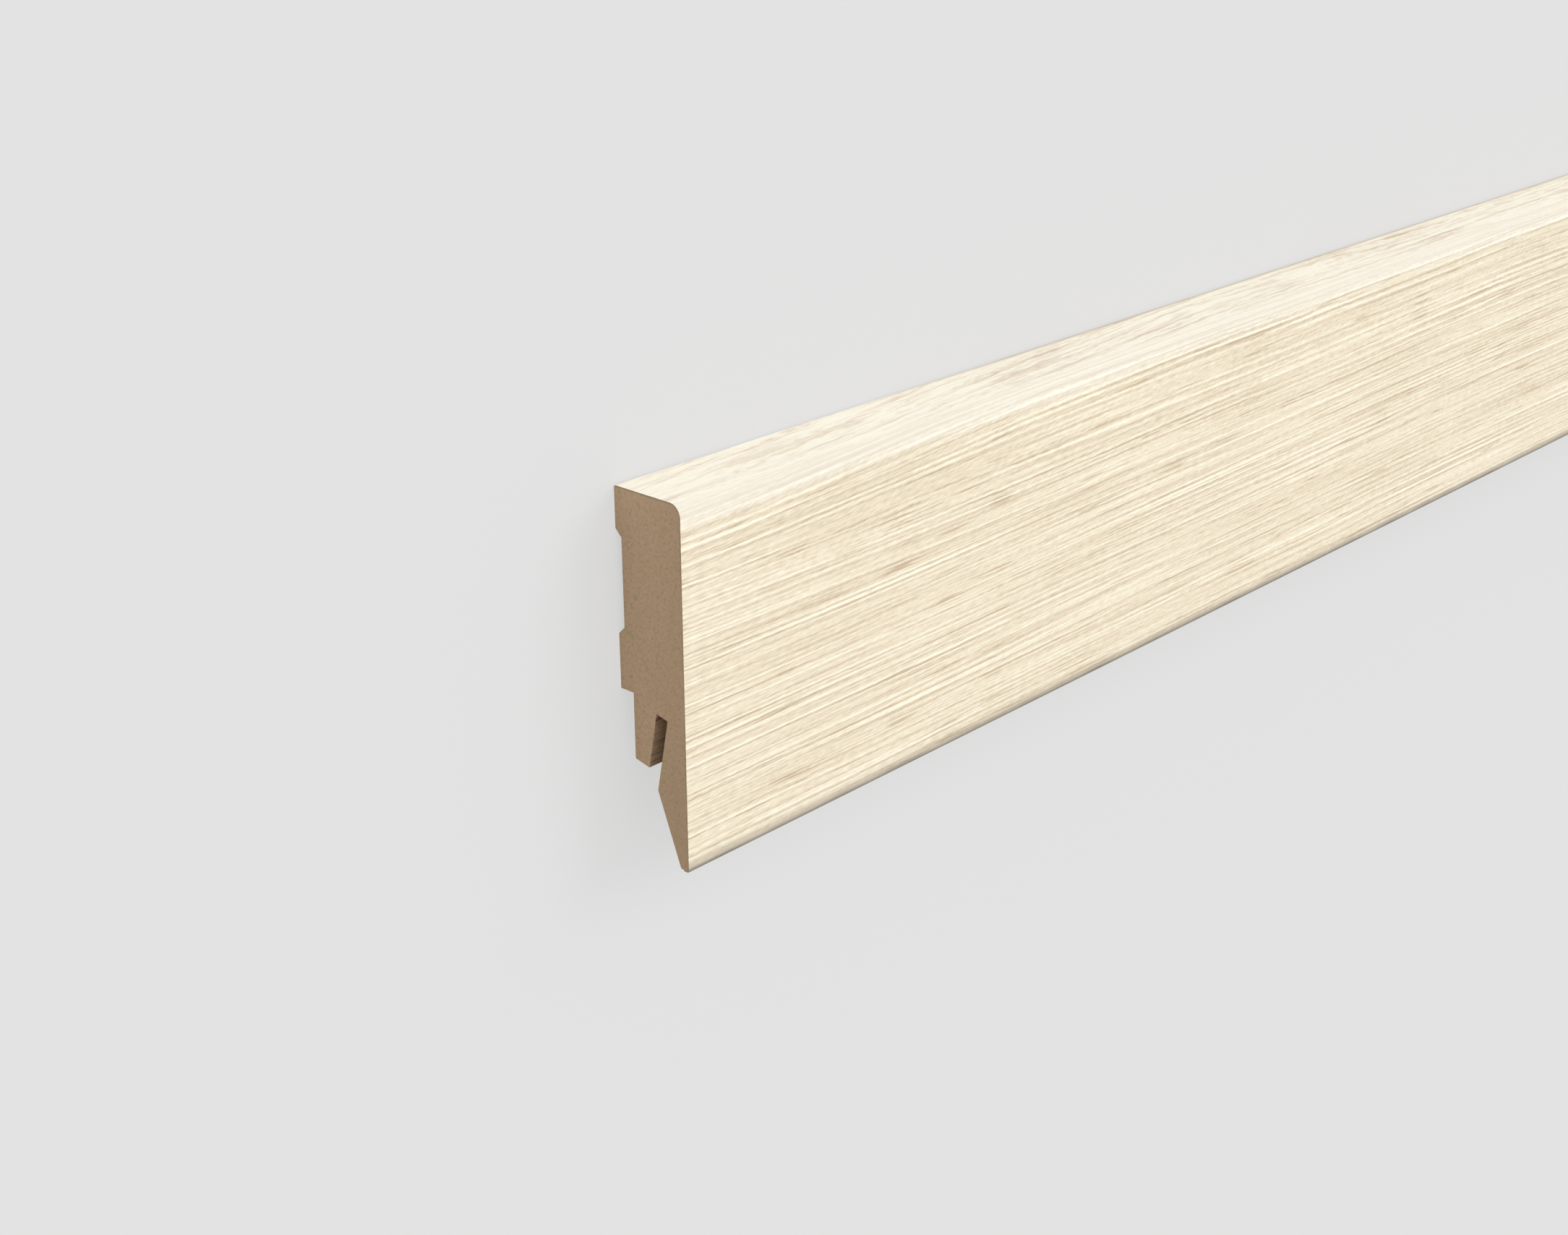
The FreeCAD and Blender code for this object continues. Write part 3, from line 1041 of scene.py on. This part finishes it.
@dataclass
class MouldedCore:
    """The machined MDF core. Heights are from the foot edge, depths from the wall plane."""

    size: BoardSize
    top_land: float = 6.8
    recess_depth: float = 1.23
    middle_land_head: float = 36.2
    middle_land_foot: float = 27.1
    step_depth: float = 2.77
    lip_foot_width: float = 1.64
    lip_arris: float = 0.3
    knee: tuple[float, float] = (12.1, 7.6)
    groove_lean: float = math.radians(11.4)
    groove_width: float = 2.37
    groove_length: float = 12.7
    leg_foot_height: float = 15.4
    machined_arris: float = 0.09
    end_arris: float = 0.05
    pitch: float = 40.0

    def outline(self) -> SectionOutline:
        """Draw the section.

        Returns:
            The outline, anticlockwise seen from the right end.
        """
        foil = self.size.foil
        foot, head = foil, self.size.height - foil
        face = self.size.thickness - foil
        lip_depth = self.size.thickness - self.lip_foot_width
        knee_height, knee_depth = self.knee
        lip_slope = (lip_depth - knee_depth) / knee_height
        along = Vector((math.cos(self.groove_lean), math.sin(self.groove_lean)))
        back = Vector((math.sin(self.groove_lean), -math.cos(self.groove_lean)))
        floor_front = Vector(self.knee) + along * self.groove_length
        floor_back = floor_front + back * self.groove_width
        leg_front = floor_back - along * ((floor_back.x - self.leg_foot_height) / along.x)
        leg_back = leg_front + back * ((leg_front.y - self.step_depth) / -back.y)
        recess_head = self.size.height - self.top_land
        small = self.machined_arris
        cut = BoardSurface.MACHINED.slot
        land = BoardSurface.SANDED.slot
        groove = BoardSurface.GROOVED.slot
        high_to_low = [
            (head, 0.0, small, cut),
            (head, face, self.size.head_radius - foil, cut),
            (foot, face, self.size.foot_radius - foil, cut),
            (foot, lip_depth - lip_slope * foot, self.lip_arris, cut),
            (knee_height, knee_depth, small, groove),
            (floor_front.x, floor_front.y, small, groove),
            (floor_back.x, floor_back.y, small, groove),
            (leg_front.x, leg_front.y, small, cut),
            (leg_back.x, leg_back.y, small, cut),
            (self.middle_land_foot, self.step_depth, small, cut),
            (self.middle_land_foot, 0.0, small, land),
            (self.middle_land_head, 0.0, small, cut),
            (self.middle_land_head + self.recess_depth, self.recess_depth, small, cut),
            (recess_head - self.recess_depth, self.recess_depth, small, cut),
            (recess_head, 0.0, small, land),
        ]
        half = self.size.height / 2
        return SectionOutline([Corner(h - half, d, r, slot) for h, d, r, slot in high_to_low])

    def build(self) -> bpy.types.Object:
        """Build and dress the core.

        Returns:
            The new object.
        """
        piece = LongPiece(
            name="moulded_mdf_core",
            outline=self.outline().points(),
            length=self.size.length,
            end_slot=BoardSurface.SAWN.slot,
            pitch=self.pitch,
            arris=self.end_arris,
        ).build([BoardFinish(surface).material() for surface in BoardSurface])
        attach(piece, BODY)
        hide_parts("mdf_core")
        return piece


@dataclass
class DecorWrap:
    """The decor foil, wrapped from the head's back edge round to the underside of the foot.

    Its unseen glued side gets little room on the baking square.
    """

    size: BoardSize
    foot_return: float = 1.1
    wall_margin: float = 0.3
    trim_waver: float = 0.08
    trim_run: float = 23
    end_arris: float = 0.02
    pitch: float = 8.0
    unrolled: tuple[float, float] = (1.0, 0.05)

    DECOR, CUT_EDGE = 0, 1

    def outline(self) -> SectionOutline:
        """Draw the foil's section.

        Returns:
            The outline, anticlockwise seen from the right end.
        """
        foil = self.size.foil
        half = self.size.height / 2
        face = self.size.thickness
        foot_end = face - self.foot_return
        corners = [
            Corner(half, self.wall_margin, 0.0, self.DECOR),
            Corner(half, face, self.size.head_radius, self.DECOR),
            Corner(-half, face, self.size.foot_radius, self.DECOR),
            Corner(-half, foot_end, 0.0, self.CUT_EDGE),
            Corner(foil - half, foot_end, 0.0, self.CUT_EDGE),
            Corner(foil - half, face - foil, self.size.foot_radius - foil, self.CUT_EDGE),
            Corner(half - foil, face - foil, self.size.head_radius - foil, self.CUT_EDGE),
            Corner(half - foil, self.wall_margin, 0.0, self.CUT_EDGE),
        ]
        return SectionOutline(corners)

    def trimmed(self, x: float, point: Vector) -> Vector:
        """Move the foil's knife-trimmed edge at the head's back a little, as a real trim wavers.

        Args:
            x: Place along the board.
            point: A point of the section.

        Returns:
            The point, moved if it is on the trimmed edge.
        """
        touching = 0.01
        if point.y > self.wall_margin + touching:
            return point
        spot = Vector((x / self.trim_run, 0.0, 0.0))
        return Vector((point.x, point.y + self.trim_waver * noise.noise(spot)))

    def build(self) -> bpy.types.Object:
        """Build and dress the foil.

        Returns:
            The new object.
        """
        size = self.size
        decor = WoodDecorFinish(size.length, size.height / 2, size.thickness).material()
        piece = LongPiece(
            name="wood_decor_foil",
            outline=self.outline().points(),
            length=size.length,
            end_slot=self.CUT_EDGE,
            pitch=self.pitch,
            arris=self.end_arris,
            shift=self.trimmed,
            unrolled=self.unrolled,
        ).build([decor, FoilEdgeFinish().material()])
        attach(piece, BODY)
        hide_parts("decor_foil")
        return piece


@dataclass(frozen=True)
class SoftLamp:
    """A large soft light: its strength, how wide it looks in the sky, and where it stands."""

    name: str
    strength: float
    width: float
    stands: Vector

    def hang(self) -> None:
        """Put the light in the scene."""
        lamp = bpy.data.lights.new(self.name, "SUN")
        lamp.energy = self.strength
        lamp.angle = math.radians(self.width)
        holder = bpy.data.objects.new(self.name, lamp)
        holder.rotation_euler = self.stands.to_track_quat("Z", "Y").to_euler()
        bpy.context.scene.collection.objects.link(holder)


@dataclass
class Studio:
    """A plain pale floor, two soft lights and an even pale surround.

    The camera sees the floor as an even grey, with a share of the shadow that falls on it.
    """

    grey: Colour = paint(227, 227, 227)
    matt_grey: Colour = paint(222, 222, 222)
    floor_side: float = 12.0
    ambient: float = 0.79
    shadow_share: float = 0.25
    lamps: tuple[SoftLamp, ...] = (
        SoftLamp("soft_key", strength=1.0, width=38, stands=Vector((0.60, 0.44, 0.67))),
        SoftLamp("head_fill", strength=0.42, width=90, stands=Vector((0.25, 0.93, 0.27))),
    )

    def build(self) -> None:
        """Set up the surround, the floor, the lights and the picture's tone."""
        self._surround()
        self._floor()
        for lamp in self.lamps:
            lamp.hang()
        bpy.context.scene.view_settings.view_transform = "Standard"

    @staticmethod
    def _seen(g: NodeGraph) -> Signal:
        """Tell what is seen from what only lights the scene.

        Args:
            g: The graph of the floor or the surround.

        Returns:
            1 for what the camera, a gloss or a clear piece shows, and 0 for plain light.
        """
        path = g.node("ShaderNodeLightPath", output="Is Camera Ray")
        outputs = path.socket.node.outputs
        gloss = Signal(g, outputs["Is Glossy Ray"])
        return g.clamped(path + gloss + Signal(g, outputs["Is Transmission Ray"]))

    def _surround(self) -> None:
        """Light the scene evenly, and show the floor's own grey behind it."""
        world = bpy.data.worlds.new("studio_surround")
        bpy.context.scene.world = world
        world.use_nodes = True
        g = NodeGraph(world.node_tree)
        light = (self.ambient, self.ambient, self.ambient, 1.0)
        colour = g.blend(self._seen(g), light, self.grey)
        backdrop = g.node("ShaderNodeBackground", None, {"Color": colour, "Strength": 1.0})
        g.node("ShaderNodeOutputWorld", None, {"Surface": backdrop})

    def _floor(self) -> None:
        """Lay a floor whose grey stays even, with a light shadow of what lies on it."""
        half = self.floor_side / 2
        mesh = bpy.data.meshes.new("studio_floor")
        corners = [(-half, -half, 0.0), (half, -half, 0.0), (half, half, 0.0), (-half, half, 0.0)]
        mesh.from_pydata(corners, [], [(0, 1, 2, 3)])
        floor = bpy.data.objects.new("studio_floor", mesh)
        bpy.context.scene.collection.objects.link(floor)
        material, g = new_material("pale_floor")
        matt = g.node("ShaderNodeBsdfDiffuse", None, {"Color": self.matt_grey})
        even = g.node("ShaderNodeEmission", None, {"Color": self.grey, "Strength": 1.0})
        share = self._seen(g) * (1 - self.shadow_share)
        g.surface(g.node("ShaderNodeMixShader", None, {0: share, 1: matt, 2: even}))
        mesh.materials.append(material)


@dataclass
class PhotoCamera:
    """The photo's view. It is measured from the near foot corner of the board standing upright.

    Upright, X runs along the board, Y into the wall and Z up the board. The board here lies on its
    back, so the camera is turned with it and looks down on the floor. The angles are in degrees.
    """

    size: BoardSize
    from_corner: Vector = field(default_factory=lambda: Vector((-213.0, -221.7, 167.8)))
    heading: float = 43.368
    pitch: float = -22.198
    roll: float = -0.383
    focal: float = 51.8
    sensor: float = 36.0
    nearest: float = 0.01

    def build(self) -> None:
        """Place the camera and make it the scene's."""
        lens = bpy.data.cameras.new("photo_camera")
        lens.lens = self.focal
        lens.sensor_width = self.sensor
        lens.clip_start = self.nearest
        camera = bpy.data.objects.new("photo_camera", lens)
        turn = Matrix.Rotation(math.radians(self.heading - 90), 4, "Z")
        tilt = Matrix.Rotation(math.radians(90 + self.pitch), 4, "X")
        level = Matrix.Rotation(math.radians(self.roll), 4, "Z")
        upright = Matrix.Translation(self.from_corner * MM) @ turn @ tilt @ level
        lay_down = Matrix.Rotation(math.radians(-90), 4, "X")
        corner = Vector((-self.size.length / 2, -self.size.height / 2, self.size.thickness)) * MM
        camera.matrix_world = Matrix.Translation(corner) @ lay_down @ upright
        bpy.context.scene.collection.objects.link(camera)
        bpy.context.scene.camera = camera


def main() -> None:
    """Build the board's pieces, then the studio and the camera."""
    logging.basicConfig(level=logging.INFO, format="%(name)s: %(message)s")
    size = BoardSize.from_frame()
    log.info("board %.1f x %.1f x %.1f mm", size.length, size.height, size.thickness)
    for part in (MouldedCore(size), DecorWrap(size)):
        piece = part.build()
        log.info("%s: %d faces", piece.name, len(piece.data.polygons))
    Studio().build()
    PhotoCamera(size).build()


if __name__ == "__main__":
    main()
